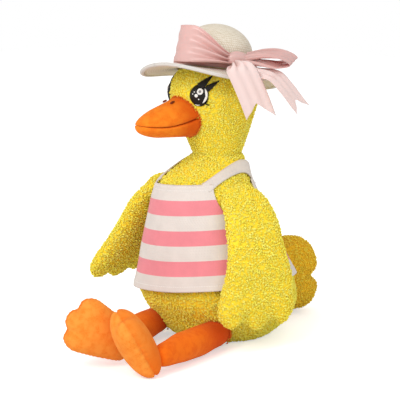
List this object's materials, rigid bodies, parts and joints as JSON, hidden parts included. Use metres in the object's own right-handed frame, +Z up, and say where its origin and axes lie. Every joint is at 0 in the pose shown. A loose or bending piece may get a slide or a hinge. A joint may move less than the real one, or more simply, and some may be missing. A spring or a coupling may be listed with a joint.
{
  "type": "plush duck",
  "caption": "Sitting plush duck in curly fleece, with velour beak and feet, a striped strap top, and a brimmed hat tied with a satin bow.",
  "frame": {"origin": "middle of the flat seat, under the neck, at the floor", "axes": "+Z up, the duck faces -Y and its left side is +X"},
  "size_m": [0.23, 0.3482, 0.3127],
  "materials": {
    "fleece_yellow": "curly long pile",
    "tail_fleece": "curly pile, shorter",
    "fibre_white": "loose polyester fibre",
    "bag_cloth": "plain weave",
    "velour_orange": "short velour",
    "thread_black": "satin stitch",
    "thread_brown": "satin stitch",
    "knit_striped": "fine knit in pink and white stripes",
    "knit_white": "fine knit",
    "linen_beige": "plain weave",
    "binding_white": "folded bias tape",
    "satin_pink": "satin ribbon"
  },
  "bodies": {
    "body": {"body_skin": "fleece_yellow", "body_stuffing": "fibre_white", "pellet_bag": "bag_cloth", "tail_skin": "tail_fleece", "tail_stuffing": "fibre_white", "top_front": "knit_striped", "top_back": "knit_striped", "strap_left": "knit_white", "strap_right": "knit_white"},
    "head": {"head_skin": "fleece_yellow", "head_stuffing": "fibre_white", "beak_upper": "velour_orange", "beak_lower": "velour_orange", "beak_stuffing": "fibre_white", "eye_left": "thread_black", "eye_right": "thread_black", "nostril_left": "thread_brown", "nostril_right": "thread_brown"},
    "hat": {"hat_crown": "linen_beige", "hat_brim": "linen_beige", "brim_piping": "binding_white", "hat_band": "satin_pink", "bow_knot": "satin_pink", "bow_loop_front": "satin_pink", "bow_loop_back": "satin_pink", "bow_tail_front": "satin_pink", "bow_tail_back": "satin_pink"},
    "left_wing": {"left_wing_skin": "fleece_yellow", "left_wing_stuffing": "fibre_white"},
    "right_wing": {"right_wing_skin": "fleece_yellow", "right_wing_stuffing": "fibre_white"},
    "left_leg": {"left_leg_skin": "velour_orange", "left_leg_stuffing": "fibre_white"},
    "right_leg": {"right_leg_skin": "velour_orange", "right_leg_stuffing": "fibre_white"},
    "left_foot": {"left_foot_skin": "velour_orange", "left_foot_stuffing": "fibre_white"},
    "right_foot": {"right_foot_skin": "velour_orange", "right_foot_stuffing": "fibre_white"}
  },
  "joints": [
    {"name": "head_turn", "type": "hinge", "parent": "body", "child": "head", "pos_m": [0, -0.0025, 0.1843], "axis": [0, 0, 1], "range_deg": [-40, 40], "stiffness_Nm_per_rad": 0.3},
    {"name": "hat_lift", "type": "slide", "parent": "head", "child": "hat", "axis": [-0.0316, 0.1795, 0.9833], "range_m": [0, 0.09]},
    {"name": "left_wing_raise", "type": "hinge", "parent": "body", "child": "left_wing", "pos_m": [0.04906, -0.02504, 0.151], "axis": [-0.3907, -0.9205, 0], "range_deg": [0, 75], "stiffness_Nm_per_rad": 0.15},
    {"name": "right_wing_raise", "type": "hinge", "parent": "body", "child": "right_wing", "pos_m": [-0.04906, -0.02504, 0.151], "axis": [0, 1, 0], "range_deg": [-15, 56], "stiffness_Nm_per_rad": 0.15},
    {"name": "left_hip", "type": "hinge", "parent": "body", "child": "left_leg", "pos_m": [0.04012, -0.04535, 0.015], "axis": [-0.9799, -0.1994, 0], "range_deg": [-75, 20], "stiffness_Nm_per_rad": 0.1},
    {"name": "right_hip", "type": "hinge", "parent": "body", "child": "right_leg", "pos_m": [-0.04012, -0.04535, 0.015], "axis": [-0.9336, -0.3584, 0], "range_deg": [-75, 20], "stiffness_Nm_per_rad": 0.1},
    {"name": "left_ankle", "type": "hinge", "parent": "left_leg", "child": "left_foot", "pos_m": [0.06125, -0.14919, 0.01761], "axis": [-0.9799, -0.1994, 0], "range_deg": [-12, 6], "stiffness_Nm_per_rad": 0.05},
    {"name": "right_ankle", "type": "hinge", "parent": "right_leg", "child": "right_foot", "pos_m": [-0.0022, -0.14413, 0.02131], "axis": [-0.9336, -0.3584, 0], "range_deg": [-12, 12], "stiffness_Nm_per_rad": 0.05}
  ]
}
